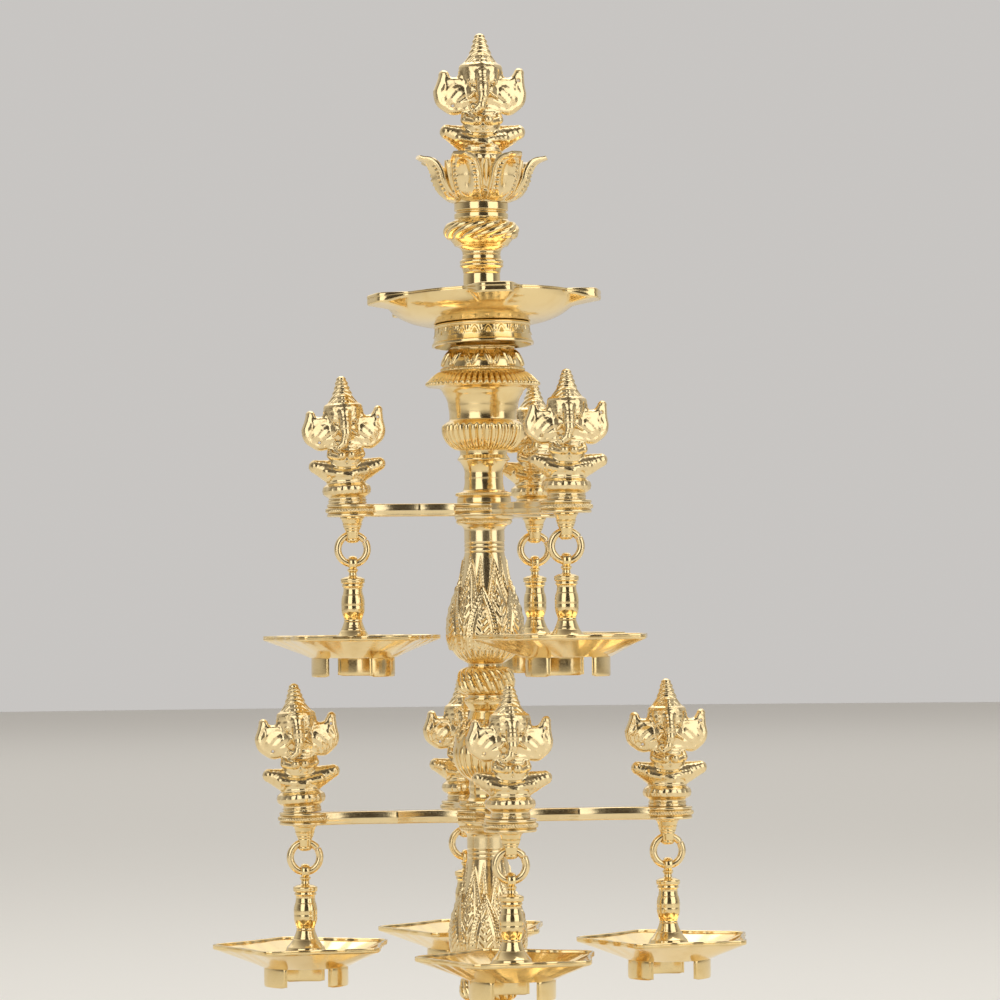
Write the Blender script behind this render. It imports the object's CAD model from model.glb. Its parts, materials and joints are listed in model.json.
import json
import math

import bpy
import numpy as np
import openvdb
from mathutils import Matrix, Vector, geometry


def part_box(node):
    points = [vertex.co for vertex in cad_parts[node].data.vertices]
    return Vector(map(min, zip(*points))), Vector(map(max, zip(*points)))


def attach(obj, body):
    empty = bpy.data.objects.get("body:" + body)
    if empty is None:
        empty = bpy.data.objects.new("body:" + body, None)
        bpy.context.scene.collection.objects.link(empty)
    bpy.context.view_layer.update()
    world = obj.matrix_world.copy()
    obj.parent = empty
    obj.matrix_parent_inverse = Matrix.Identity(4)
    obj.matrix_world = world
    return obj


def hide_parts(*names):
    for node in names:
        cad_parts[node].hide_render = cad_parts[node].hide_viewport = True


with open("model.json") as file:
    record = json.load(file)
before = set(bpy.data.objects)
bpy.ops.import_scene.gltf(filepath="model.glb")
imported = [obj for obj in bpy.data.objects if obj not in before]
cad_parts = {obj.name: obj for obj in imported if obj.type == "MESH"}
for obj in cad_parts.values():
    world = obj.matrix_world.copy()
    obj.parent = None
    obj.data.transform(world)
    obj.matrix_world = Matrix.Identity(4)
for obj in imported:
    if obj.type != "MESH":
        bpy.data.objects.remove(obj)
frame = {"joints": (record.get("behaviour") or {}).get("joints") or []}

TAU = math.tau
MM = 0.001
LOTUS_PETALS = 7
# How far each arm's pan is turned about its stem, in degrees.
PAN_TURNS = {"upper_left": 16, "upper_front": 26, "upper_back": 60}
PAN_TURNS |= {f"lower_{side}": 26 for side in ("right", "back", "left", "front")}
# The figures that sit a little crooked: their lean to the right in degrees, and their shift in mm.
LEANS = {
    "upper_left": (-2.4, -2.6),
    "lower_left": (-3.4, -1.4),
    "upper_front": (0.6, 0.3),
    "lower_back": (-1.5, 0),
}


# --- sizes from the frame, in mm


def top_of(node):
    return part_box(node)[1].z / MM


def joint_place(name):
    joint = next(joint for joint in frame["joints"] if joint["name"] == name)
    return Vector(joint["pos_m"]) / MM


def reach_of(arm):
    """How far an arm's lamp hangs from the axis, to 0.01 mm."""
    x, y, z = joint_place(f"{arm}_lamp_swing")
    return round(math.hypot(x, y), 2)


STACK = (
    "base", "lower_knob", "lower_baluster", "lower_bracket",
    "vase", "upper_knob", "upper_baluster", "upper_bracket",
    "urn", "dish_skirt",
)
LEVEL = {"base": 0.0}
for below, above in zip(STACK, STACK[1:]):
    LEVEL[above] = top_of(below)
DISH_WALL = 1.8
# The top dish and its skirt sit a little crooked, raised at the front and on the right.
DISH_TILT = (math.radians(-2.6), math.radians(-1.3), 0)
LEVEL["top_dish"] = top_of("dish_skirt")
LEVEL["finial_stem"] = LEVEL["top_dish"] + DISH_WALL
LEVEL["lotus"] = top_of("finial_stem")
# Radii that the turned castings share: where two meet, at a neck and at a collar.
JOINT, NECK, COLLAR = 9.6, 11.2, 15.0
PLATE = top_of("lower_bracket") - LEVEL["lower_bracket"]
BEAD = 1.25
# The radius of a lamp stem's foot, the height of a pan's tabs and the height of its rim.
FOOT, TAB, PAN_RIM = 14.0, 9.9, 2.4
RING_RADIUS = 8.1
# The seated figure is modelled this many units tall.
FIGURE = 100


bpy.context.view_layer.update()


# --- meshes


def new_object(name, data):
    made = bpy.data.objects.new(name, data)
    bpy.context.scene.collection.objects.link(made)
    return made


def add_object(name, points, faces, material, sharp=38):
    """A smooth piece whose edges stay crisp where its faces meet at more than sharp degrees."""
    mesh = bpy.data.meshes.new(name)
    mesh.from_pydata(np.asarray(points, float) * MM, [], faces)
    mesh.polygons.foreach_set("use_smooth", np.ones(len(mesh.polygons), bool))
    mesh.set_sharp_from_angle(angle=math.radians(sharp))
    mesh.materials.append(material)
    mesh.update()
    return new_object(name, mesh)


def grid_faces(rows, columns, first=0, wrap_rows=False):
    """Quads over a grid whose columns close round and whose points count from first."""
    row = np.arange(rows if wrap_rows else rows - 1)[:, None]
    column = np.arange(columns)[None, :]
    above, beside = (row + 1) % rows, (column + 1) % columns
    around = ((row, column), (row, beside), (above, beside), (above, column))
    corners = [at_row * columns + at_column for at_row, at_column in around]
    return (np.stack(corners, -1).reshape(-1, 4) + first).tolist()


def capped_piece(name, grids, material):
    """One piece from grids of rings, each closed with a fan over its first and its last ring."""
    points, faces = [], []
    first = 0
    for grid in grids:
        rows, columns = grid.shape[:2]
        faces += grid_faces(rows, columns, first)
        points += [grid.reshape(-1, 3), grid[0].mean(0)[None, :], grid[-1].mean(0)[None, :]]
        last = first + (rows - 1) * columns
        low = last + columns
        for n in range(columns):
            after = (n + 1) % columns
            faces.append([low, first + after, first + n])
            faces.append([low + 1, last + n, last + after])
        first = low + 2
    return add_object(name, np.vstack(points), faces, material)


def looped_piece(name, grid, material):
    """A piece from rings of points whose last ring meets the first, so that it needs no caps."""
    return add_object(name, grid.reshape(-1, 3), grid_faces(*grid.shape[:2], wrap_rows=True), material)


def arc(start, end, bulge, pitch):
    """Points from start to end, bowed to the right of travel by bulge times the chord."""
    start, end = np.array(start, float), np.array(end, float)
    chord = np.linalg.norm(end - start)
    count = max(1, int(math.ceil(chord * (1 + 2 * abs(bulge)) / pitch)))
    t = np.linspace(0, 1, count + 1)[1:, None]
    if abs(bulge) < 1e-4:
        return start + (end - start) * t
    half = 2 * math.atan(2 * bulge)
    radius = chord / 2 / math.sin(half)
    along = (end - start) / chord
    side = np.array([along[1], -along[0]])
    sweep = half * (2 * t - 1)
    rise = side * radius * (np.cos(sweep) - math.cos(half))
    return (start + end) / 2 + along * radius * np.sin(sweep) + rise


def trace(steps, pitch):
    """An outline through steps of (across, up) or (across, up, bulge)."""
    line = [np.array([steps[0][:2]], float)]
    for before, step in zip(steps, steps[1:]):
        line.append(arc(before[:2], step[:2], step[2] if len(step) > 2 else 0, pitch))
    return np.vstack(line)


def stretched(steps, height):
    """The same steps with their heights multiplied by height."""
    return [(across, up * height, *bulge) for across, up, *bulge in steps]


def soften(line, times=1):
    """Rounds the corners of an open outline by about the distance between its points."""
    for _ in range(times):
        line = line.copy()
        line[1:-1] = (line[:-2] + 2 * line[1:-1] + line[2:]) / 4
    return line


def normals_of(line):
    """The unit normals on the right of an open outline."""
    tangent = np.gradient(line, axis=0)
    tangent /= np.maximum(np.linalg.norm(tangent, axis=1, keepdims=True), 1e-9)
    return np.stack([tangent[:, 1], -tangent[:, 0]], 1)


def revolve(radius, angle, z):
    """Points from radius, angle and height, spread over one grid."""
    radius, angle, z = np.broadcast_arrays(radius, angle, z)
    return np.stack([radius * np.cos(angle), radius * np.sin(angle), z], -1)


def lathe_grid(line, lift, around, where=1.0):
    """Rings of points of a turned outline whose surface rises by lift(angle, height) times where."""
    angle = np.arange(around) * TAU / around
    out = normals_of(line)
    rise = lift(angle[None, :], line[:, 1:2]) * where
    return revolve(line[:, 0:1] + out[:, 0:1] * rise, angle, line[:, 1:2] + out[:, 1:2] * rise)


# --- relief, in mm, over angle and height


def ease(x):
    x = np.clip(x, 0, 1)
    return x * x * (3 - 2 * x)


def band(z, low, high, soft=0.4):
    return ease((z - low) / soft) * ease((high - z) / soft)


def bump(x, middle, width):
    return np.exp(-(((x - middle) / width) ** 2))


def beads(angle, z, middle, radius, pitch=BEAD, slant=0.0, tall=0.45):
    """A row of round beads; slant leans them into short strokes."""
    count = round(TAU * radius / pitch)
    v = (z - middle) / (pitch * 0.62)
    u = (angle / TAU * count + slant * v) % 1 * 2 - 1
    return pitch * tall * np.sqrt(np.clip(1 - u**2 - v**2, 0, 1))


def line_ring(z, middle, deep=0.35, wide=0.35):
    return -deep * bump(z, middle, wide)


def flutes(angle, z, low, high, count, deep, soft=1.5):
    """Rounded upright ribs between two heights."""
    wave = np.abs(np.sin(math.pi * (angle / TAU * count)))
    return deep * (wave**0.7 - 0.6) * band(z, low, high, soft)


# The girth of a leafy casting, in mm: it sets how many mm the parts of a leaf's relief are wide.
LEAF_GIRTH = 110


def leaves(angle, z, root, tip, count, turn=0.0, wide=0.95, tall=1.2):
    """A row of pointed leaves, each with a raised ticked border and a smaller veined leaf inside."""
    t = np.clip((z - root) / (tip - root), 0, 1)
    u = np.abs((angle / TAU * count + turn) % 1 * 2 - 1)
    half = LEAF_GIRTH / 2 / count
    inset = (wide * (1 - t**2.1) ** 0.85 - u) * half
    edge = ease(inset / 0.7)
    rim = 0.3 * bump(inset, 0.07 * half, 0.05 * half + 0.1)
    groove = 0.35 * bump(inset, 0.36 * half, 0.045 * half + 0.1)
    border = band(inset, 0.12 * half, 0.33 * half, 0.06 * half + 0.1)
    ticked = 0.15 * np.sin(TAU * t * abs(tip - root) / 1.9) * border
    inner = (0.55 * wide * np.clip(1 - (t / 0.72) ** 2, 0, 1) ** 0.9 - u) * half
    veins = 0.2 * np.cos(TAU * (t * 9 - u * 3.2)) + 0.4 * bump(u, 0, 0.04)
    nested = ease(inner / 0.9) * (0.42 + veins) * (t < 0.72)
    inside = (z >= min(root, tip)) & (z <= max(root, tip))
    return np.where(inside, tall * edge * (1 - 0.25 * t) + (rim - groove + ticked + nested) * edge, 0.0)


def leaf_pairs(angle, z, low, high, count):
    """Pairs of curled leaves that lean towards each other, one pair to a pitch."""
    t = np.clip((z - low) / (high - low), 0, 1)
    u = angle / TAU * count % 1 * 2 - 1
    side = np.abs(u)
    spine = 0.16 + 0.6 * t**1.4
    leaf = 1 - ((side - spine) / (0.3 * np.sqrt(np.clip(1 - (2 * t - 1) ** 2, 0, 1)) + 0.02)) ** 2
    rib = 0.45 * bump(side, spine, 0.06)
    return (1.35 * np.sqrt(np.clip(leaf, 0, 1)) - rib * (leaf > 0)) * band(z, low, high, 0.4)


# --- materials


def add_node(tree, kind, values=(), source=None, **settings):
    """A new shader node: its settings, its socket values by name, and what feeds its first socket."""
    node = tree.nodes.new(kind)
    for key, value in settings.items():
        setattr(node, key, value)
    for key, value in dict(values).items():
        node.inputs[key].default_value = value
    if source:
        tree.links.new(source, node.inputs[0])
    return node


def new_material(name):
    material = bpy.data.materials.new(name)
    material.use_nodes = True
    return material, material.node_tree, material.node_tree.nodes["Principled BSDF"]


def remap(tree, source, low, high, to_low, to_high):
    values = {"From Min": low, "From Max": high, "To Min": to_low, "To Max": to_high}
    return add_node(tree, "ShaderNodeMapRange", values, source).outputs["Result"]


def brass(name, pale, deep, rough, dirt, grain):
    """Polished brass that is deeper and duller in the recesses, with fine wear in its polish."""
    material, tree, shader = new_material(name)
    shader.inputs["Metallic"].default_value = 1.0
    place = add_node(tree, "ShaderNodeTexCoord").outputs["Object"]

    def noise(scale, detail):
        return add_node(tree, "ShaderNodeTexNoise", {"Scale": scale, "Detail": detail}, place).outputs["Fac"]

    def join(kind, first, second):
        node = add_node(tree, "ShaderNodeMath", source=first, operation=kind, use_clamp=kind == "ADD")
        tree.links.new(second, node.inputs[1])
        return node.outputs["Value"]

    patches, wear, fine = noise(90, 3), noise(900, 4), noise(3600, 3)
    recess = remap(tree, add_node(tree, "ShaderNodeNewGeometry").outputs["Pointiness"], 0.5, 0.42, 0.0, dirt)
    film = remap(tree, patches, 0.52, 0.72, 0.0, 0.22)
    colour = add_node(tree, "ShaderNodeMix", source=join("ADD", recess, film), data_type="RGBA")
    colour.inputs[6].default_value = (*pale, 1)
    colour.inputs[7].default_value = (*deep, 1)
    tree.links.new(colour.outputs[2], shader.inputs["Base Color"])
    polish = remap(tree, wear, 0.35, 0.7, rough, rough + 0.07)
    dull = remap(tree, recess, 0, 1, 0.0, 0.22)
    tree.links.new(join("ADD", polish, dull), shader.inputs["Roughness"])
    bumps = add_node(tree, "ShaderNodeBump", {"Strength": 0.5, "Distance": grain * MM})
    height = join("ADD", join("MULTIPLY", wear, wear), remap(tree, fine, 0, 1, 0, 0.35))
    tree.links.new(height, bumps.inputs["Height"])
    tree.links.new(bumps.outputs["Normal"], shader.inputs["Normal"])
    return material


def polished_brass():
    """Turned faces, polished bright."""
    pale, deep = (0.93, 0.73, 0.38), (0.70, 0.42, 0.09)
    return brass("polished_brass_look", pale, deep, rough=0.11, dirt=0.6, grain=0.008)


def cast_brass():
    """Cast relief, paler and less even, with more left in the recesses."""
    pale, deep = (0.93, 0.75, 0.43), (0.64, 0.40, 0.10)
    return brass("cast_brass_look", pale, deep, rough=0.15, dirt=0.7, grain=0.015)


def wire_brass():
    """Drawn wire, a little duller than the turned faces."""
    pale, deep = (0.91, 0.72, 0.40), (0.64, 0.40, 0.10)
    return brass("wire_brass_look", pale, deep, rough=0.15, dirt=0.5, grain=0.01)


def floor_paint():
    """Pale matt paint with a faint unevenness."""
    material, tree, shader = new_material("pale_floor")
    shader.inputs["Roughness"].default_value = 0.7
    noise = add_node(tree, "ShaderNodeTexNoise", {"Scale": 3.0})
    ramp = add_node(tree, "ShaderNodeValToRGB", source=noise.outputs["Fac"])
    ramp.color_ramp.elements[0].color = (0.88, 0.86, 0.80, 1)
    ramp.color_ramp.elements[1].color = (0.92, 0.90, 0.85, 1)
    tree.links.new(ramp.outputs["Color"], shader.inputs["Base Color"])
    return material


POLISHED, CAST, WIRE = polished_brass(), cast_brass(), wire_brass()


def settle(piece, node, body="column"):
    """The piece stands for the CAD node, moves with its body and takes its slot."""
    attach(piece, body)
    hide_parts(node)


def settle_casting(piece, node):
    """A casting of the column, modelled from its own underside, set at its level."""
    piece.location.z = LEVEL[node] * MM
    settle(piece, node)


def turned_casting(node, top, steps, lift, around, pitch=0.4, material=POLISHED):
    """A turned casting of height top: the heights in steps are parts of it."""
    line = soften(trace(stretched(steps, top), pitch))
    piece = capped_piece(f"{node}_look", [lathe_grid(line, lift, around)], material)
    settle_casting(piece, node)


# --- the column's turned castings


def make_base():
    """The hollow spreading foot: a beaded edge, a leafy cove and a dome of two rows of leaves."""
    height = LEVEL["lower_knob"]
    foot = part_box("base")[1].x / MM
    steps = [
        (foot - 4.5, 0), (foot, 0), (foot, 5.1), (foot - 3, 6),
        (foot - 3, 7), (foot - 7, 12.4, 0.3), (foot - 34.2, 29, -0.12), (foot - 34.2, 33.6, 0.5),
        (foot - 37.8, 35.8, -0.2), (24.3, 59.9, 0.16), (18, 62.8, -0.3), (COLLAR, 67),
        (COLLAR, height), (JOINT, height), (JOINT, height - 4), (3, height - 12),
        (3, height - 16), (50, 31, -0.1), (foot - 10, 9, 0.1), (foot - 4.5, 0),
    ]

    def lift(angle, z):
        rim = beads(angle, z, 2.6, foot, 4.6, tall=0.3) + beads(angle, z, 31.3, foot - 33, 3.6, tall=0.3)
        petals = leaves(angle, z, 36.5, 58.5, 16, wide=0.98, tall=1.0)
        behind = leaves(angle, z, 36.5, 60.5, 16, turn=0.5, wide=0.9, tall=0.7)
        cove = leaves(angle, z, 27.5, 14, 24, wide=0.95, tall=0.7)
        return rim + np.maximum(petals, behind) + cove + line_ring(z, 65) + line_ring(z, 70.5)

    line = trace(steps, 0.6)
    top_face = (line[:, 1] >= height - 1e-6) & (line[:, 0] < COLLAR - 0.2)
    outside = np.arange(len(line)) < int(np.argmax(top_face))
    grid = lathe_grid(line, lift, 480, outside[:, None])
    grid[..., 2] = np.maximum(grid[..., 2], 0)
    piece = looped_piece("base_look", grid[:-1], POLISHED)
    settle_casting(piece, "base")


def make_knob(node, after):
    """A round knob with slanting ribs that curve as they rise."""
    top = LEVEL[after] - LEVEL[node]
    steps = [
        (0.3, -3 / top), (JOINT - 1, -3 / top), (JOINT, 0), (JOINT, 0.08), (JOINT + 5.8, 0.42, 0.22),
        (JOINT + 5.4, 0.56, 0.12), (JOINT, 0.9, 0.2), (JOINT, 1), (0.3, 1),
    ]

    def lift(angle, z):
        t = z / top
        ribs = np.abs(np.sin(math.pi * (angle / TAU * 17 + 1.1 * t + 0.7 * t * t)))
        return 2.0 * (ribs**0.6 - 0.55) * band(z, top * 0.06, top * 0.94, top * 0.22)

    turned_casting(node, top, steps, lift, around=312, pitch=0.3)


def make_baluster(node, after):
    """A pear-shaped baluster wrapped in three rows of leaves, with a collar on top."""
    top = LEVEL[after] - LEVEL[node]
    wide = 20.3
    steps = [
        (0.3, -2 / top), (JOINT, -2 / top), (JOINT, 0), (wide, 0.21, 0.16), (wide * 0.88, 0.41, 0.05),
        (wide * 0.58, 0.71, -0.03), (NECK, 0.74), (NECK, 0.9), (COLLAR - 0.6, 0.94, -0.2),
        (COLLAR, 0.95), (COLLAR, 0.975), (COLLAR + 1.2, 0.985, 0.2), (COLLAR + 1.6, 1), (0.3, 1),
    ]

    def lift(angle, z):
        front = leaves(angle, z, top * 0.1, top * 0.53, 6, turn=0.18, wide=0.93, tall=1.25)
        behind = leaves(angle, z, top * 0.1, top * 0.71, 6, turn=0.68, wide=1.05, tall=0.65)
        between = leaves(angle, z, top * 0.3, top * 0.735, 12, turn=0.1, wide=0.85, tall=0.25)
        wrap = np.maximum(np.maximum(front, behind), between)
        under = flutes(angle, z, top * 0.015, top * 0.12, 24, 0.8, soft=2)
        grooves = sum(line_ring(z, top * part) for part in (0.755, 0.785, 0.815))
        return wrap + under + grooves + beads(angle, z, top * 0.962, COLLAR, 1.3)

    turned_casting(node, top, steps, lift, around=400, pitch=0.38, material=CAST)


def make_vase():
    """A small ribbed vase between the tiers, with leaves that hang from its shoulder."""
    top = LEVEL["upper_knob"] - LEVEL["vase"]
    steps = [
        (0.3, 0), (COLLAR, 0), (COLLAR, 0.08), (JOINT, 0.16, -0.35), (JOINT, 0.26),
        (17.6, 0.58, 0.17), (JOINT + 1, 0.8, 0.12), (JOINT - 1, 0.88), (JOINT + 2, 0.95),
        (JOINT + 2, 1), (0.3, 1),
    ]

    def lift(angle, z):
        ribs = flutes(angle, z, top * 0.27, top * 0.58, 20, 0.9, soft=3)
        hanging = leaves(angle, z, top * 0.8, top * 0.6, 8, wide=0.95, tall=0.9)
        rows = beads(angle, z, top * 0.045, COLLAR) + beads(angle, z, top * 0.975, JOINT + 2)
        return ribs + hanging + rows + line_ring(z, top * 0.2)

    turned_casting("vase", top, steps, lift, around=320)


def make_urn():
    """The urn: a gadrooned cup, a plain body, a fluted rim and a shoulder of curled leaves."""
    top = LEVEL["dish_skirt"] - LEVEL["urn"]
    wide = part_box("urn")[1].x / MM
    cup = wide * 0.74
    steps = [
        (0.3, 0), (COLLAR, 0), (COLLAR, 0.03), (COLLAR - 0.7, 0.036), (COLLAR - 0.2, 0.06, 0.3),
        (NECK + 0.5, 0.072), (NECK - 0.4, 0.15, -0.06), (NECK + 1.8, 0.232, -0.12), (NECK + 2.4, 0.24),
        (NECK + 3.0, 0.256, 0.4), (NECK + 1.8, 0.275), (NECK + 2.0, 0.3), (cup - 0.6, 0.425, 0.17),
        (wide * 0.62, 0.465, 0.15), (wide * 0.6, 0.475), (wide * 0.62, 0.55, -0.03),
        (wide * 0.7, 0.62, -0.08), (wide * 0.77, 0.652, -0.08), (wide * 0.95, 0.66),
        (wide * 0.995, 0.668, 0.3), (wide * 0.965, 0.684, 0.2), (wide * 0.72, 0.745, 0.06),
        (wide * 0.735, 0.752, 0.3), (wide * 0.71, 0.762, 0.2), (wide * 0.71, 0.772),
        (wide * 0.54, 0.868, 0.1), (wide * 0.545, 0.874, 0.3), (wide * 0.53, 0.892, 0.3),
        (COLLAR - 0.4, 0.9), (COLLAR, 1), (0.3, 1),
    ]

    def lift(angle, z):
        cup_ribs = flutes(angle, z, top * 0.295, top * 0.452, 34, 1.3, soft=1.8)
        rim_ribs = flutes(angle, z, top * 0.664, top * 0.742, 56, 1.9, soft=0.7)
        scrolls = leaf_pairs(angle, z, top * 0.772, top * 0.868, 11)
        lip = beads(angle, z, top * 0.757, wide * 0.73, 1.5, slant=0.5, tall=0.4)
        low_row = beads(angle, z, top * 0.05, COLLAR, 1.3)
        top_row = beads(angle, z, top * 0.883, COLLAR + 2, 1.4, slant=0.5)
        return cup_ribs + rim_ribs + scrolls + lip + low_row + top_row

    turned_casting("urn", top, steps, lift, around=448, pitch=0.45)


def make_skirt():
    """The engraved ring under the top dish: a web on the urn, and a wall that hangs from it."""
    low = LEVEL["dish_skirt"]
    web = LEVEL["top_dish"] - low
    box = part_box("dish_skirt")
    wall, raised = 1.6, 2.4
    rim, deep = box[1].x / MM, box[0].z / MM - low + raised
    steps = [
        (5.2, 0.01), (rim - wall * 2.2, 0), (rim - wall, deep), (rim - 0.3, deep),
        (rim, deep + 0.6, 0.3), (rim, deep + 1.4), (rim - 0.5, deep + 1.8), (rim - 2.2, -1.0, -0.03),
        (rim - 1.7, -0.5, 0.4), (rim - 2.0, web - 0.3, 0.3), (rim - 2.6, web), (5.2, web),
    ]

    def lift(angle, z):
        motif = leaves(angle, z, deep + 2.2, -1.2, 22, wide=0.9, tall=0.5)
        other = leaves(angle, z, -1.2, deep + 2.2, 22, turn=0.5, wide=0.5, tall=0.4)
        return 0.45 * np.maximum(motif, other) * band(z, deep + 2, -1, 0.3)

    line = trace(steps, 0.3)
    outside = (line[:, 0] > rim - 2.4) & (np.arange(len(line)) > len(line) * 0.55)
    grid = lathe_grid(line, lift, 480, outside[:, None])
    piece = looped_piece("dish_skirt_look", grid, POLISHED)
    piece.rotation_euler = DISH_TILT
    settle_casting(piece, "dish_skirt")


def make_finial_stem():
    """The stem over the top dish: a neck, a bulge twisted like rope and a grooved collar."""
    top = LEVEL["lotus"] - LEVEL["finial_stem"]
    rope = 19.9
    steps = [
        (0.3, 0), (NECK + 5, 0), (NECK + 4.2, 1.2 / top, 0.2), (NECK - 1, 0.12, -0.3),
        (NECK - 0.9, 0.36), (NECK - 0.2, 0.45, -0.05), (NECK + 0.5, 0.485, 0.35),
        (NECK - 0.2, 0.52, 0.35), (NECK - 0.5, 0.585, -0.04), (NECK + 3.6, 0.635, -0.16),
        (rope * 0.86, 0.685, -0.04), (rope * 0.88, 0.7), (rope * 0.84, 0.835, 0.38),
        (rope * 0.78, 0.853), (COLLAR - 0.4, 0.865), (COLLAR, 0.875), (COLLAR, 0.91),
        (COLLAR - 1.1, 0.918), (COLLAR - 1.1, 0.93), (COLLAR, 0.938), (COLLAR, 1), (0.3, 1),
    ]

    def lift(angle, z):
        t = (z - top * 0.69) / (top * 0.155)
        strand = np.abs(np.sin(math.pi * (angle / TAU * 13 - 2.0 * t)))
        rope_wave = 1.9 * (strand**0.6 - 0.6) * band(z, top * 0.685, top * 0.848, 1.6)
        return rope_wave + line_ring(z, top * 0.4, 0.25) + line_ring(z, top * 0.56, 0.25)

    turned_casting("finial_stem", top, steps, lift, around=360, pitch=0.32)


# --- the lotus


def petal_grid(path, half_width, thick, lift, columns=44):
    """A closed leaf round the axis: rows up its middle line, columns across its face and back."""
    line = soften(trace(path, 0.4), 3)
    out = normals_of(line)
    t = np.linspace(0, 1, len(line))[:, None]
    front = np.linspace(-1, 1, columns)
    across = np.concatenate([front, front[::-1]])[None, :]
    face = np.concatenate([np.ones(columns), -np.ones(columns)])[None, :]
    body = thick / 2 * np.sqrt(np.clip(1 - across**2, 0, 1)) ** 0.5
    rise = np.where(face > 0, body + lift(across, t), -body)
    wide = half_width(t)
    cup = 0.10 * wide * across**2
    turn = across * wide / np.maximum(line[:, 0:1], 6)
    return revolve(line[:, 0:1] + out[:, 0:1] * (rise - cup), turn, line[:, 1:2] + out[:, 1:2] * (rise - cup))


def turned_grid(grid, degrees):
    spin = np.array(Matrix.Rotation(math.radians(degrees), 3, "Z"))
    return grid @ spin.T


def lotus_seat():
    """The height of the lotus's platform over its underside: the top figure stands on it."""
    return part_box("top_figure")[0].z / MM - LEVEL["lotus"]


def make_lotus():
    """Curled petals with a narrow leaf between each two, round a cup that carries the figure."""
    top = top_of("lotus") - LEVEL["lotus"]
    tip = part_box("lotus")[1].x / MM
    seat = lotus_seat()

    def petal_lift(across, t):
        u = np.abs(across)
        t = np.clip(t, 0, 1)
        edge = 1 - u
        border = 0.55 * bump(edge, 0.1, 0.07) + 0.3 * bump(edge, 0.3, 0.05) - 0.3 * bump(edge, 0.2, 0.04)
        oval = np.sqrt((u / 0.5) ** 2 + ((t - 0.5) / 0.34) ** 2)
        hollow = -2.0 * ease((1 - oval) / 0.7) + 0.5 * bump(oval, 1.05, 0.12)
        ticked = 0.4 * np.sin(TAU * t * 15) * band(edge, 0.28, 0.56, 0.08) * band(t, 0.2, 0.75, 0.08)
        slit = -0.7 * bump(u, 0, 0.14) * band(t, 0.28, 0.78, 0.12)
        return (border + hollow + ticked + slit) * ease(t / 0.12) * ease((1 - t) / 0.1)

    def petal_width(t):
        return 9.8 * (0.72 + 0.28 * np.sin(math.pi * t)) * (1 - 0.5 * np.clip((t - 0.6) / 0.4, 0, 1) ** 2)

    petal_path = [
        (14.6, top * 0.05), (22.5, top * 0.24, 0.06), (26.6, top * 0.55, 0.04), (28.6, top * 0.82, -0.06),
        (tip - 2.6, top * 1.0, -0.13), (tip + 1.0, top * 1.045, 0.05),
    ]
    petal = petal_grid(petal_path, petal_width, 2.3, petal_lift)

    def wedge_width(t):
        return 0.4 + 3.7 * t**0.8 * (1 - 0.5 * np.clip((t - 0.8) / 0.2, 0, 1))

    def wedge_lift(across, t):
        return 0.6 * bump(np.abs(across), 0, 0.25) - 0.3 * bump(np.abs(across), 0.55, 0.15)

    wedge_path = [(17.5, top * 0.2), (23.3, top * 0.5, 0.05), (25.4, top * 0.86, 0.02), (25.9, top * 0.95)]
    wedge = petal_grid(wedge_path, wedge_width, 2.0, wedge_lift, columns=20)
    heart_steps = [
        (0.3, -3), (COLLAR - 2, -3), (COLLAR - 2, 0), (COLLAR, 0),
        (COLLAR, top * 0.02), (COLLAR + 3.4, top * 0.11, -0.15), (COLLAR + 6.4, top * 0.25, 0.1),
        (COLLAR + 9.3, top * 0.62, 0.1), (COLLAR + 9.6, top * 0.8), (COLLAR + 7.6, top * 0.84),
        (COLLAR + 6.5, seat), (0.3, seat),
    ]

    def swag(angle, z):
        wave = top * (0.17 + 0.07 * np.abs(np.cos(angle * LOTUS_PETALS / 2)))
        return 0.7 * bump(z, wave, 0.7)

    grids = [lathe_grid(soften(trace(heart_steps, 0.5)), swag, 256)]
    pitch = 360 / LOTUS_PETALS
    first = -90 - pitch / 2
    for n in range(LOTUS_PETALS):
        grids.append(turned_grid(petal, first + pitch * n))
        grids.append(turned_grid(wedge, first + pitch * (n + 0.5)))
    settle_casting(capped_piece("lotus_look", grids, CAST), "lotus")


# --- the flat brackets


def bracket_outline(reach, count, pitch=0.33):
    """The outline round all arms, and how much of the bead row each of its points has."""
    hub, waist, cusp, boss = 19.0, 8.2, 7.4, 14.0
    bow, opening = -0.065, math.radians(142)
    meet = math.asin(waist / hub)
    gap = TAU / count - 2 * meet
    root = np.array([hub * math.cos(meet), waist])
    knuckle = np.array([reach * 0.5, cusp])
    shoulder = np.array([reach + boss * math.cos(opening), boss * math.sin(opening)])
    mirror = np.array([1, -1])
    at_hub = np.linspace(-meet - gap, -meet, max(4, int(hub * gap / pitch)))[1:]
    at_boss = np.linspace(-opening, opening, int(boss * 2 * opening / pitch))[1:]
    stretches = (
        (np.stack([hub * np.cos(at_hub), hub * np.sin(at_hub)], 1), 1.0),
        (arc(root * mirror, knuckle * mirror, bow, pitch), 0.0),
        (arc(knuckle * mirror, shoulder * mirror, bow, pitch), 0.0),
        (np.stack([reach + boss * np.cos(at_boss), boss * np.sin(at_boss)], 1), 1.0),
        (arc(shoulder, knuckle, bow, pitch), 0.0),
        (arc(knuckle, root, bow, pitch), 0.0),
    )
    arm = np.vstack([line for line, mark in stretches])
    marks = np.concatenate([np.full(len(line), mark) for line, mark in stretches])
    turns = [TAU * n / count for n in range(count)]
    spins = [np.array([[math.cos(a), math.sin(a)], [-math.sin(a), math.cos(a)]]) for a in turns]
    return np.vstack([arm @ spin for spin in spins]), np.tile(marks, count)


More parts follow.
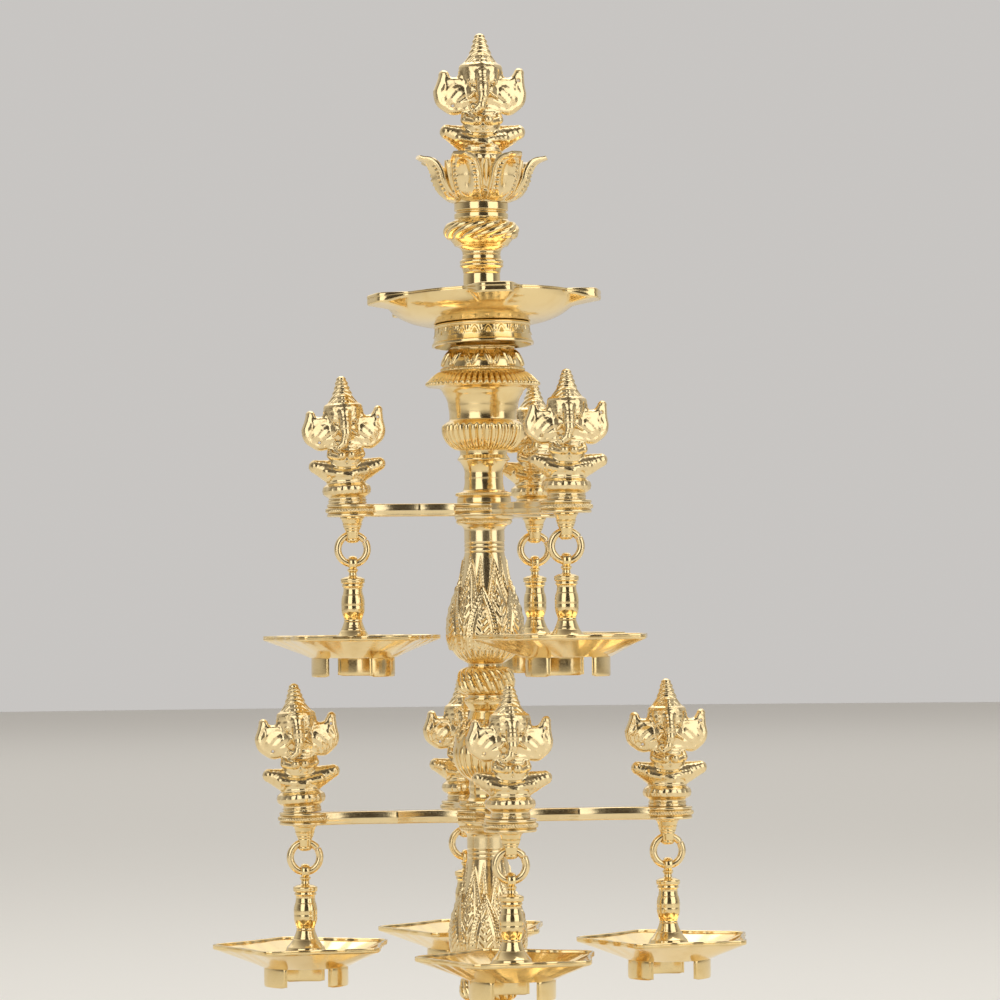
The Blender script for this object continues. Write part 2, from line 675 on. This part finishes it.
def round_closed(values, times):
    """Smooths values along a closed outline."""
    for _ in range(times):
        values = (np.roll(values, 1, 0) + 2 * values + np.roll(values, -1, 0)) / 4
    return values


def bracket_rise(mark, along, z):
    """A row of slanted beads between two grooves where mark is 1, and a plain round edge where it is 0."""
    row = BEAD * 1.9
    v = (z - PLATE / 2) / (row / 2)
    u = (along / (BEAD * 1.3) + 0.45 * v) % 1 * 2 - 1
    beading = 0.8 * np.sqrt(np.clip(1 - np.abs(u) ** 2.2 - np.abs(v) ** 2.4, 0, 1)) * (np.abs(v) < 1)
    lines = sum(-0.6 * bump(z, PLATE / 2 + side * row * 0.68, 0.3) for side in (-1, 1))
    plain = 0.35 * bump(z, PLATE / 2, 1.5)
    return mark * (beading + lines) + (1 - mark) * plain


def make_bracket(node, reach, count, first):
    """A flat casting with count arms that reach from the hub to their bosses; first is one arm's angle."""
    line, mark = bracket_outline(reach, count)
    line = round_closed(line, 4)
    mark = round_closed(mark, 12)
    step = np.linalg.norm(np.roll(line, -1, 0) - line, axis=1)
    along = np.concatenate([[0], np.cumsum(step)[:-1]])
    tangent = np.roll(line, -1, 0) - np.roll(line, 1, 0)
    tangent /= np.linalg.norm(tangent, axis=1, keepdims=True)
    out = round_closed(np.stack([tangent[:, 1], -tangent[:, 0]], 1), 6)
    levels = np.linspace(0.7, PLATE - 0.7, 21)
    bevel = [0.1, 0.33, 0.7, 1.6]
    z = np.concatenate([[0, 0, 0.12, 0.35], levels, [PLATE - 0.35, PLATE - 0.12, PLATE, PLATE]])[:, None]
    inset = np.concatenate([bevel[::-1], 0 * levels, bevel])[:, None]
    rise = bracket_rise(mark, along, z) - inset
    flat = line + out * rise[:, :, None]
    grid = np.concatenate([flat, np.broadcast_to(z[:, :, None], (len(z), len(line), 1))], 2)
    rows, columns = grid.shape[:2]
    faces = grid_faces(rows, columns)
    for ring in (0, rows - 1):
        loop = [Vector(point) for point in grid[ring]]
        for triangle in geometry.tessellate_polygon([loop]):
            a, b, c = (loop[corner] for corner in triangle)
            up = (b - a).cross(c - a).z > 0
            corners = [ring * columns + corner for corner in triangle]
            faces.append(corners if up == (ring > 0) else corners[::-1])
    piece = add_object(f"{node}_look", grid.reshape(-1, 3), faces, CAST)
    piece.rotation_euler.z = math.radians(first)
    settle_casting(piece, node)


# --- dishes


def star_radius(angle, tip, tip_width, body, body_angle, hollow=0.0, points=5):
    """The dish outline: flat-ended points joined to a round body by straight sides.

    The body shows for body_angle degrees on each side of a gap; hollow bows the sides out a little.
    """
    half = math.pi / points
    phi = np.abs((angle + half) % (2 * half) - half)
    notch_angle = half - math.radians(body_angle)
    ax, ay = tip, tip_width / 2
    bx, by = body * math.cos(notch_angle) - ax, body * math.sin(notch_angle) - ay
    side = (ax * by - ay * bx) / (np.cos(phi) * by - np.sin(phi) * bx)
    flat = tip / np.cos(phi)
    radius = np.where(phi < math.atan2(ay, ax), flat, np.where(phi < notch_angle, side, body))
    radius = radius + hollow * np.sin(phi / half * math.pi * 2) ** 2
    return round_closed(radius, 5)


def dish_grid(rim_line, floor, depth, rim, hole, body, spout):
    """Rings of points under a dish, over its rim and back to the middle.

    The bowl rises from its floor to the round body; spout is how much deeper the rim is at the points.
    """
    angle = np.arange(len(rim_line)) * TAU / len(rim_line)
    tip = rim_line.max()
    out = ease((rim_line - body) / (tip - body))
    edge = rim + spout * out
    rings = []

    def ring(radius, z):
        rings.append(revolve(radius, angle, z))

    def under(radius):
        if not spout:
            return -depth + (depth - rim) * (radius - floor) / (rim_line - floor)
        q = np.clip((radius - floor) / (body - floor), 0, 1)
        bowl = -depth + (depth - rim) * (1 - (1 - q**1.8) ** 0.62)
        trough = -(edge + spout * out * np.clip((tip - radius) / (tip - body + 8), 0, 1) * 1.3)
        return blend(bowl, trough, 2.0)

    def slope(inward, upward, levels):
        for level in levels:
            radius = floor + (rim_line - inward - floor) * level
            ring(radius, blend(under(radius), -edge, 0.6) + upward)

    outward = np.linspace(0, 1, 34)
    ring(hole, -depth)
    for part in np.linspace(0.1, 0.96, 10):
        ring(hole + (floor - hole) * part, -depth)
    slope(0.5, 0, outward)
    lip = ((0.12, 0.06), (0, 0.16), (0, 0.42), (0.2, 0.5), (0.2, 0.56), (0, 0.66), (0, 0.82), (0.12, 0.94))
    for inset, rise in lip:
        ring(rim_line - inset, edge * (rise - 1))
    for inset in (0.45, DISH_WALL * 0.7):
        ring(rim_line - inset, 0)
    ring(rim_line - DISH_WALL, -0.35)
    ring(rim_line - DISH_WALL - 0.1, -np.maximum(edge - DISH_WALL, 0.5))
    slope(DISH_WALL + 0.2, DISH_WALL, outward[::-1])
    for part in np.linspace(0.96, 0.1, 10):
        ring(hole + (floor - hole) * part, -depth + DISH_WALL)
    ring(hole, -depth + DISH_WALL)
    return np.array(rings)


def make_top_dish():
    """The round dish with five broad spouts, one of them to the front."""
    low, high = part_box("top_dish")
    depth = (high.z - low.z) / MM
    tip, body = -low.y / MM, 53
    angle = np.arange(720) * TAU / 720
    star = star_radius(angle, tip - 0.2, tip_width=18, body=body, body_angle=20)
    rim_line = round_closed(star, 25)
    dish = dish_grid(rim_line, floor=28, depth=depth, rim=2.4, hole=5.2, body=body, spout=2.8)
    grid = turned_grid(dish, -90)
    grid[..., 2] += depth
    piece = looped_piece("top_dish_look", grid, POLISHED)
    piece.rotation_euler = DISH_TILT
    settle_casting(piece, "top_dish")


def tab_grid(radius, span, height, width):
    """One curved foot under a pan, with a rounded lower edge, as rings along its arc."""
    around = np.arange(28) * TAU / 28
    across = width / 2 * np.sign(np.cos(around)) * np.abs(np.cos(around)) ** 0.35
    middle = -height / 2
    up = (height / 2 + 0.6) * np.sign(np.sin(around)) * np.abs(np.sin(around)) ** 0.35
    t = np.linspace(-1, 1, 40)[:, None]
    shrink = np.where(np.abs(t) < 1, (1 - np.abs(t) ** 14) ** 0.5, 0.05)
    z = middle + up * np.maximum(shrink, 0.9)
    return revolve(radius + across * shrink, math.radians(span / 2) * t, z)


def make_pan_mesh():
    """One hanging pan on its three tabs: z is 0 at the top of the rim."""
    tip, body, tabs, first_tab = 51.2, 41.5, 3, 62
    low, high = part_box("upper_left_lamp_pan")
    depth = (high.z - low.z) / MM - TAB
    angle = np.arange(600) * TAU / 600
    rim_line = star_radius(angle, tip, tip_width=4.5, body=body, body_angle=3, hollow=0.7)
    grids = [dish_grid(rim_line, floor=24, depth=depth, rim=PAN_RIM, hole=2.2, body=body, spout=0.0)]
    tab = tab_grid(radius=22.2, span=60, height=TAB, width=2.2)
    tab[:, :, 2] -= depth
    grids += [turned_grid(tab, first_tab + 360 / tabs * n) for n in range(tabs)]
    return capped_piece("pan_look", grids, POLISHED)


# --- hanging parts


def make_stem_mesh():
    """A turned lamp stem and its eye: z is 0 at the ring's centre, and foot is the pan's floor below it."""
    pan_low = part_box("upper_left_lamp_pan")[0].z / MM
    foot = (pan_low - joint_place("upper_left_lamp_swing").z) + TAB + DISH_WALL
    steps = [
        (0.3, 1), (FOOT, 1), (FOOT, 1 + 1.6 / foot), (FOOT - 1.2, 0.925, -0.05),
        (FOOT - 3.6, 0.85, -0.04), (5.9, 0.73, -0.06), (5.1, 0.68, -0.04), (5.3, 0.65, -0.04),
        (6.4, 0.54, 0.07), (5.9, 0.44, 0.05), (5.2, 0.38, -0.05), (5.4, 0.362), (6.0, 0.345, 0.25),
        (5.6, 0.328), (6.6, 0.31, 0.3), (6.7, 0.295), (5.9, 0.275, 0.25), (4.4, 0.262),
        (2.3, 0.25, -0.15), (2.1, 0.222), (3.0, 0.2, 0.1), (2.2, 0.185, 0.3), (0.3, 0.182),
    ]

    def lift(angle, z):
        return sum(line_ring(z, foot * part, 0.15, 0.25) for part in (0.43, 0.67, 0.69, 0.77))

    body = lathe_grid(soften(trace(stretched(steps, foot), 0.3)), lift, 112)
    turn = np.linspace(0, TAU, 72, endpoint=False)[:, None]
    around = np.linspace(0, TAU, 28, endpoint=False)[None, :]
    reach = 3.5 + 1.05 * np.cos(around)
    across = 2.15 * np.sin(around) * (1 + 0.12 * np.sin(turn))
    taper = 1 + 0.05 * np.sin(turn)
    eye = np.stack([across, reach * taper * np.cos(turn), reach * np.sin(turn) - RING_RADIUS], -1)
    points = np.vstack([body.reshape(-1, 3), eye.reshape(-1, 3)])
    eye_faces = grid_faces(*eye.shape[:2], first=body[..., 0].size, wrap_rows=True)
    faces = grid_faces(*body.shape[:2]) + [face[::-1] for face in eye_faces]
    return add_object("stem_look", points, faces, POLISHED)


def make_ring_mesh():
    """The split wire ring in its own plane, with a narrow gap at its upper right."""
    wire, gap = 2.05, 0.35
    half_gap = gap / RING_RADIUS / 2
    turn = np.linspace(half_gap, TAU - half_gap, 144)[:, None]
    around = np.linspace(0, TAU, 40, endpoint=False)[None, :]
    ends = np.minimum(turn - turn[0], turn[-1] - turn) * RING_RADIUS
    thin = 1 - 0.14 * (1 - ease(ends / 0.5))
    reach = RING_RADIUS + wire * thin * np.cos(around)
    grid = np.stack([reach * np.cos(turn), wire * thin * np.sin(around), reach * np.sin(turn)], -1)
    tilt = np.array(Matrix.Rotation(math.radians(-34), 3, "Y"))
    return capped_piece("ring_look", [grid @ tilt.T], WIRE)


# --- solid modelling on a fine grid, for the castings that aren't turned


# Beyond this distance from a surface a field stays level.
FAR = 4.0


def blend(a, b, soft):
    """The union of two distance fields with a filleted join."""
    h = np.clip(0.5 + 0.5 * (b - a) / soft, 0, 1)
    return b + (a - b) * h - soft * h * (1 - h)


def carve(a, b, soft):
    """Field a with field b cut away, the edge slightly rounded."""
    return -blend(-a, b, soft)


def offset(p, middle):
    return tuple(a - b for a, b in zip(p, middle))


def ellipsoid(p, middle, radii):
    """A field of an ellipsoid."""
    x, y, z = offset(p, middle)
    near = np.sqrt((x / radii[0]) ** 2 + (y / radii[1]) ** 2 + (z / radii[2]) ** 2)
    slope = np.sqrt((x / radii[0] ** 2) ** 2 + (y / radii[1] ** 2) ** 2 + (z / radii[2] ** 2) ** 2)
    return near * (near - 1) / np.maximum(slope, 1e-6)


def limb(p, start, end, first, last, stripes=0.0, deep=0.5):
    """A field of a tapered round limb; stripes is the pitch of grooves round it."""
    along = np.array(end, float) - np.array(start, float)
    length = np.linalg.norm(along)
    x, y, z = offset(p, start)
    t = np.clip((x * along[0] + y * along[1] + z * along[2]) / length**2, 0, 1)
    away = np.sqrt((x - t * along[0]) ** 2 + (y - t * along[1]) ** 2 + (z - t * along[2]) ** 2)
    radius = first + (last - first) * t
    if stripes:
        radius = radius - deep * (0.5 - 0.5 * np.cos(TAU * t * length / stripes)) * (t > 0.02) * (t < 0.98)
    return away - radius


def hoop(p, middle, radius, thick):
    """A field of a ring that faces the front."""
    x, y, z = offset(p, middle)
    return np.sqrt((np.sqrt(x**2 + z**2) - radius) ** 2 + y**2) - thick


def turned_field(p, profile, wave):
    """A field of a round column through the heights and radii of profile, raised by wave."""
    x, y, z = p
    heights, radii = zip(*profile)
    radius = np.interp(z, heights, radii)
    across = np.sqrt(x**2 + y**2)
    return np.maximum((across - radius - wave) * 0.8, np.maximum(heights[0] - z, z - heights[-1]))


def field_piece(name, field, low, step, material):
    """The surface where a field sampled from low in steps is 0."""
    grid = openvdb.FloatGrid(FAR)
    grid.copyFromArray(np.ascontiguousarray(np.clip(field, -FAR, FAR), dtype=np.float32))
    points, quads = grid.convertToQuads(isovalue=0.0)
    points = np.array(points) * step + np.array(low)
    return add_object(name, points, quads[:, ::-1].tolist(), material, sharp=70)


def field_space(low, high, step):
    axes = [np.arange(a, b, step, dtype=np.float32) for a, b in zip(low, high)]
    return np.meshgrid(*axes, indexing="ij")


def pedestal(p):
    """The figure's round seat: a lobed cushion between two steps."""
    x, y, z = p
    angle = np.arctan2(y, x)
    lower_step = ((0, 15), (3.2, 15), (3.9, 14.3), (5.4, 14.5))
    cushion = ((6.2, 16), (8, 18.2), (11, 18.9), (14, 18.1), (15.6, 16.2), (16.6, 15.2))
    upper_step = ((18, 15.7), (20.5, 15.4), (22, 13.5))
    lobes = (0.7 * np.abs(np.sin(angle * 7)) ** 0.7 - 0.4) * band(z, 6.5, 15.5, 3.0)
    rings = -0.5 * bump(z, 1.9, 0.5) - 0.4 * bump(z, 18.6, 0.5)
    return turned_field(p, lower_step + cushion + upper_step, lobes + rings)


def legs(p):
    """Crossed legs: broad knees whose tops are level, and folded shins in front."""
    x, y, z = p
    thighs = []
    for side, reach in ((-1, 23.8), (1, 25.6)):
        thigh = limb(p, (side * 12, -4, 26), (side * reach, -5.5, 30.2), 9.4, 5.3)
        folds = np.sqrt((x - side * 4) ** 2 + (z - 19) ** 2)
        cloth = 0.05 * np.cos(TAU * folds / 3.0) * ease((np.abs(x) - 13) / 3)
        thighs.append(thigh - cloth)
    both = blend(*thighs, 1.5)
    for side in (-1, 1):
        shin = limb(p, (side * 15, -10.6, 25.5), (-side * 3, -13.4, 22.4 + side * 0.8), 3.6, 3.0)
        both = blend(both, shin, 1.4)
    lap = ellipsoid(p, (0, -3, 23.5), (15.6, 13, 6.5))
    folds = 0.3 * np.cos(TAU * (z + 0.02 * x**2) / 3.1) * bump(z, 23, 4)
    return blend(both, lap - folds, 1.4)


def trunk_of_body(p):
    """The round belly and the chest with its necklaces and sash."""
    x, y, z = p
    belly = ellipsoid(p, (0, -4.5, 34), (13.4, 11.5, 9.5))
    chest = ellipsoid(p, (0, -2, 43.5), (13.0, 10, 9.5))
    body = blend(belly, chest, 3)
    front = ease((-y - 1) / 3)
    for height, sag in ((46.6, 0.9), (44.4, 1.3), (42.0, 1.9), (39.4, 2.6)):
        chain = height - sag + sag * (x / 12) ** 2
        body = body - 0.42 * bump(z, chain, 0.55) * front
    sash = 28.8 + 0.010 * x**2
    body = body - 0.5 * bump(z, sash, 0.7) * front
    navel = ellipsoid(p, (0, -16.1, 32.2), (1.1, 1.6, 1.1))
    return carve(body, navel, 0.5)


def arms(p):
    """Two arms bent to the middle, each hand holding a round sweet."""
    both = []
    for side in (-1, 1):
        elbow = (side * 12.0, -8.8, 38.4)
        upper = limb(p, (side * 10.3, -3.5, 45.5), elbow, 3.2, 2.9, stripes=3.4, deep=0.25)
        lower = limb(p, elbow, (side * 5.6, -14.8, 36.4), 2.8, 2.3)
        sweet = ellipsoid(p, (side * 3.7, -16.4, 37.6), (3.4, 2.9, 3.4))
        both.append(blend(blend(upper, lower, 1.0), sweet, 0.5))
    return np.minimum(*both)


def ears(p):
    """Broad leaf-shaped ears with a rolled rim, whose tips stand up beside the crown."""
    x, y, z = p
    both = []
    for side, tip, hole in ((-1, (25.4, 70.2), (19.8, 48.7)), (1, (27.4, 72.2), (26.6, 66.8))):
        flat = (x * side, 0.0, z)
        outline = ellipsoid(flat, (18.6, 0, 56.2), (13.8, 9, 12.6))
        outline = blend(outline, limb(flat, (24.6, 0, 60), (tip[0], 0, tip[1]), 8.0, 3.7), 2.0)
        outline = blend(outline, limb(flat, (9, 0, 51.5), (18.5, 0, 50), 8.0, 7.6), 2.0)
        depth = y + 4.2 - 0.26 * (x * side - 12)
        inside = -outline - 0.6
        rolled = 0.8 * bump(inside, 1.0, 1.8) + 1.7 * ease((inside - 1) / 8)
        swirl = np.sqrt((x * side - 8) ** 2 + (z - 46) ** 2)
        folds = 0.16 * np.cos(TAU * swirl / 5.6) * ease((inside - 1.5) / 3)
        front = np.where(depth < 0, np.minimum(depth + rolled + folds, 0), depth)
        thick = 4.1
        slab = np.sqrt(np.clip(outline + thick, 0, None) ** 2 + front**2) - thick
        pierce = np.sqrt((x * side - hole[0]) ** 2 + (z - hole[1]) ** 2) - 1.1
        both.append(carve(slab, pierce, 0.6))
    return np.minimum(*both)


def crown(p):
    """The tall crown: a band with gems under ringed tiers that taper to a knob."""
    x, y, z = p
    band_part = ((64, 13.6), (70, 14.8), (75, 15.0), (77.2, 14.2))
    tiers = ((78.6, 11.6), (82, 9.4), (87, 7.3), (92, 5.4), (96, 4.4), (98.6, 3.0), (99.6, 1.2))
    ringed = 0.34 * np.cos(TAU * (z + 0.06 * x**2) / 2.9) * ease((z - 77) / 3)
    angle = np.arctan2(y + 1.5, x)
    gems = 0.25 * np.abs(np.sin(angle * 6)) * band(z, 71, 76.5, 1.8) - 0.3 * bump(z, 77.8, 0.6)
    body = turned_field((x, (y + 1.5) * 1.12, z), band_part + tiers, ringed + gems)
    return blend(body, ellipsoid(p, (0, -1.5, 97.2), (3.4, 3.2, 2.8)), 0.8)


def nose(p):
    """The long nose from the brow down over the chest, its end curled to one side."""
    bridge = ((0, -8.5, 82), (0, -12.2, 71), (0, -15, 61))
    path = bridge + ((0.3, -16.4, 54), (-1.6, -16.8, 47), (-5.6, -16.8, 43.6))
    sizes = (3.4, 4.6, 4.6, 3.8, 3.2, 2.6)
    stretches = zip(path, path[1:], sizes, sizes[1:])
    return [limb(p, start, end, first, last, stripes=2.9, deep=0.3) for start, end, first, last in stretches]


def head(p):
    """The head with its brow, eyes, tusks and locks, the nose and the crown."""
    x, y, z = p
    skull = ellipsoid(p, (0, -1.5, 63.5), (14, 11.5, 13))
    brow = ellipsoid(p, (0, -8.8, 68.5), (10.5, 5.0, 6))
    cheeks = ellipsoid(p, (0, -7.5, 57), (11, 7.2, 8.5))
    face = blend(blend(skull, brow, 1.6), cheeks, 2.0)
    for stretch in nose(p):
        face = blend(face, stretch, 1.0)
    face = blend(face, hoop(p, (-7.0, -16.8, 46.4), 1.9, 1.4), 0.6)
    for side in (-1, 1):
        across, up = x - side * 6.9, z - 63.4
        c, s = math.cos(side * 0.45), math.sin(side * 0.45)
        eye = ((c * across + s * up) / 1.5, y + 12.2, c * up - s * across)
        face = carve(face, ellipsoid(eye, (0, -0.9, 0), (2.6, 1.6, 2.4)), 0.9)
        face = blend(face, hoop(eye, (0, 0, 0), 2.1, 0.5), 0.8)
        tusk = limb(p, (side * 5.6, -13.2, 56), (side * 9.8, -17.0, 52.6), 1.8, 1.0)
        lock = limb(p, (side * 11.6, -3.4, 75.0), (side * 13.6, -4.6, 66), 3.2, 3.6, stripes=3.4, deep=0.25)
        face = blend(blend(face, tusk, 0.8), lock, 1.5)
    return blend(face, crown(p), 1.6)


def make_figure_mesh():
    """One cast seated figure, FIGURE units tall, later scaled to the height that the frame gives."""
    low, high, step = (-33, -24, -1.2), (33, 21, FIGURE + 2), 0.5
    p = field_space(low, high, step)
    lower = blend(pedestal(p), legs(p), 0.9)
    middle = blend(trunk_of_body(p), arms(p), 0.8)
    upper = blend(head(p), ears(p), 1.6)
    field = blend(blend(lower, middle, 1.0), upper, 1.0)
    field = blend(field, ellipsoid(p, (0, 6, 50), (10, 6.5, 22)), 2)
    x, y, z = p
    sway = 0.22 * np.sin(x * 0.31 + 1.0) * np.sin(z * 0.27) * np.sin(y * 0.35 + 2.0)
    grain = 0.05 * np.sin(x * 1.9 + 2 * np.sin(z * 0.9)) * np.sin(z * 2.3 + 1.3 * np.sin(y * 1.2))
    return field_piece("figure_look", field + sway + grain, low, step, CAST)


def make_lug_mesh():
    """The tapered stub under a boss, z 0 at the plate, with a flared hole for the ring."""
    low, high, step = (-7.5, -7.5, -15), (7.5, 7.5, 0.8), 0.16
    p = field_space(low, high, step)
    x, y, z = p
    taper = ((-14.4, 2.2), (-14.0, 3.1), (-13.2, 3.7), (-12, 4.0), (-4.6, 5.1))
    collar = ((-4.2, 5.5), (-3.6, 5.2), (-1.3, 6.1), (-0.9, 6.7), (0.3, 6.7))
    grooves = sum(-0.22 * bump(z, level, 0.22) for level in (-6.2, -7.6, -12.2))
    body = turned_field(p, taper + collar, grooves)
    throat = 2.35 + RING_RADIUS - np.sqrt(np.clip(RING_RADIUS**2 - x**2, 1, None))
    hole = np.sqrt(y**2 + (z + 9.7) ** 2) - throat
    return field_piece("lug_look", carve(body, hole, 0.25), low, step, POLISHED)


# --- assembly


def place_figure(model, name, node, foot, height, middle=(0, 0), lean=0):
    """A copy of the figure that stands at foot and is height tall, in mm."""
    figure = new_object(name, model.data)
    figure.location = Vector((*middle, foot)) * MM
    figure.scale = (height / FIGURE,) * 3
    figure.rotation_euler = (0, math.radians(lean), 0)
    settle(figure, node)


def hang_lamp(name, pan_turn, pan, stem, ring, lug, figure):
    """One arm's lug and figure on the bracket, its ring, and its lamp: a stem on a pan."""
    centre = joint_place(f"{name}_lamp_swing")
    plate = LEVEL["upper_bracket" if name.startswith("upper") else "lower_bracket"]
    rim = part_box(f"{name}_lamp_pan")[1].z / MM
    places = (
        (pan, "lamp_pan", "polished_brass", f"{name}_lamp", rim, pan_turn),
        (stem, "lamp_stem", "polished_brass", f"{name}_lamp", centre.z, 0),
        (ring, "ring", "wire_brass", f"{name}_ring", centre.z, 0),
        (lug, "lug", "polished_brass", "column", plate, 0),
    )
    for model, part, slot, body, z, turn in places:
        piece = new_object(f"{name}_{part}_look", model.data)
        piece.location = Vector((centre.x, centre.y, z)) * MM
        piece.rotation_euler.z = math.radians(turn)
        settle(piece, f"{name}_{part}", body)
    lean, aside = LEANS.get(name, (0, 0))
    tall = top_of("upper_left_figure") - top_of("upper_bracket")
    middle = (centre.x + aside, centre.y)
    place_figure(figure, f"{name}_figure_look", f"{name}_figure", plate + PLATE, tall, middle, lean)


def hang_lamps():
    """The seven hanging lamps and all eight figures, as copies of one model each."""
    models = make_pan_mesh(), make_stem_mesh(), make_ring_mesh(), make_lug_mesh(), make_figure_mesh()
    for name, pan_turn in PAN_TURNS.items():
        hang_lamp(name, pan_turn, *models)
    foot = LEVEL["lotus"] + lotus_seat()
    place_figure(models[-1], "top_figure_look", "top_figure", foot, top_of("top_figure") - foot)
    for model in models:
        bpy.data.objects.remove(model)


def make_column():
    """All castings from the floor up; the lower bracket has four arms, the upper one three."""
    make_base()
    make_knob("lower_knob", "lower_baluster")
    make_baluster("lower_baluster", "lower_bracket")
    make_bracket("lower_bracket", reach_of("lower_right"), 4, 0)
    make_vase()
    make_knob("upper_knob", "upper_baluster")
    make_baluster("upper_baluster", "upper_bracket")
    make_bracket("upper_bracket", reach_of("upper_left"), 3, 60)
    make_urn()
    make_skirt()
    make_top_dish()
    make_finial_stem()
    make_lotus()


# --- stage


def make_floor():
    bpy.ops.mesh.primitive_circle_add(vertices=96, radius=9, fill_type="NGON", location=(0, 0, -0.0005))
    floor = bpy.context.object
    floor.name = "floor"
    floor.data.materials.append(floor_paint())


def soft_box(name, azimuth, distance, height, wide, tall, power, aim=0.35):
    """A soft light at an azimuth seen from the front, turned towards the column."""
    lamp = bpy.data.lights.new(name, "AREA")
    lamp.shape = "RECTANGLE"
    lamp.size, lamp.size_y = wide, tall
    lamp.energy = power
    light = new_object(name, lamp)
    a = math.radians(azimuth)
    light.location = (distance * math.sin(a), -distance * math.cos(a), height)
    aim_at = Vector((0, 0, aim)) - light.location
    light.rotation_euler = aim_at.to_track_quat("-Z", "Y").to_euler()
    light.visible_camera = False


def make_world():
    """Pale surroundings, darker towards the viewer's side where the room is unlit."""
    world = bpy.data.worlds.new("studio")
    bpy.context.scene.world = world
    world.use_nodes = True
    tree = world.node_tree
    where = add_node(tree, "ShaderNodeTexCoord").outputs["Generated"]
    split = add_node(tree, "ShaderNodeSeparateXYZ", source=where)
    ramp = add_node(tree, "ShaderNodeValToRGB", source=remap(tree, split.outputs["Y"], -1, 1, 0, 1))
    for spot, colour, warm in ((0.0, 0.06, 0.3), (0.2, 0.10, 0.3), (0.42, 0.28, 0.15), (0.72, 0.72, 0.06)):
        element = ramp.color_ramp.elements.new(spot)
        element.color = (colour, colour * (1 - warm / 2), colour * (1 - warm), 1)
    # The ramp's own first and last colours go.
    ramp.color_ramp.elements.remove(ramp.color_ramp.elements[0])
    ramp.color_ramp.elements.remove(ramp.color_ramp.elements[-1])
    zenith = remap(tree, split.outputs["Z"], 0.45, 0.85, 0.8, 1.3)
    sky = tree.nodes["Background"]
    tree.links.new(ramp.outputs["Color"], sky.inputs["Color"])
    tree.links.new(zenith, sky.inputs["Strength"])


def make_lights():
    """Two tall soft boxes with a dark gap between them, one overhead and one on the floor behind.

    Each has its azimuth in degrees, its distance and height, its own width and height, and its power.
    """
    soft_box("key_left", -36, 2.6, 1.2, 1.9, 2.3, 18.5)
    soft_box("key_right", 46, 2.6, 1.2, 2.3, 2.3, 22)
    soft_box("overhead", 150, 0.5, 2.1, 2.2, 1.4, 16)
    soft_box("far_floor", 180, 4.6, 3.0, 7.0, 4.0, 34, aim=-9.0)


def make_camera():
    """A long lens, slightly from the left, at the height of the lower tier and aimed a little up."""
    data = bpy.data.cameras.new("camera")
    data.lens = 144.4
    data.sensor_width = 36
    camera = new_object("camera", data)
    azimuth = math.radians(-7)
    distance, eye, aim, side = 2.222, 0.296, 0.3513, 0.0089
    camera.location = (distance * math.sin(azimuth), -distance * math.cos(azimuth), eye)
    right = Vector((math.cos(azimuth), math.sin(azimuth), 0))
    target = Vector((0, 0, aim)) + right * side
    look = (target - camera.location).to_track_quat("-Z", "Y")
    roll = Matrix.Rotation(math.radians(-0.57), 4, "Z")
    camera.matrix_world = Matrix.Translation(camera.location) @ look.to_matrix().to_4x4() @ roll
    bpy.context.scene.camera = camera


bpy.context.scene.view_settings.view_transform = "Standard"
make_column()
hang_lamps()
make_floor()
make_world()
make_lights()
make_camera()
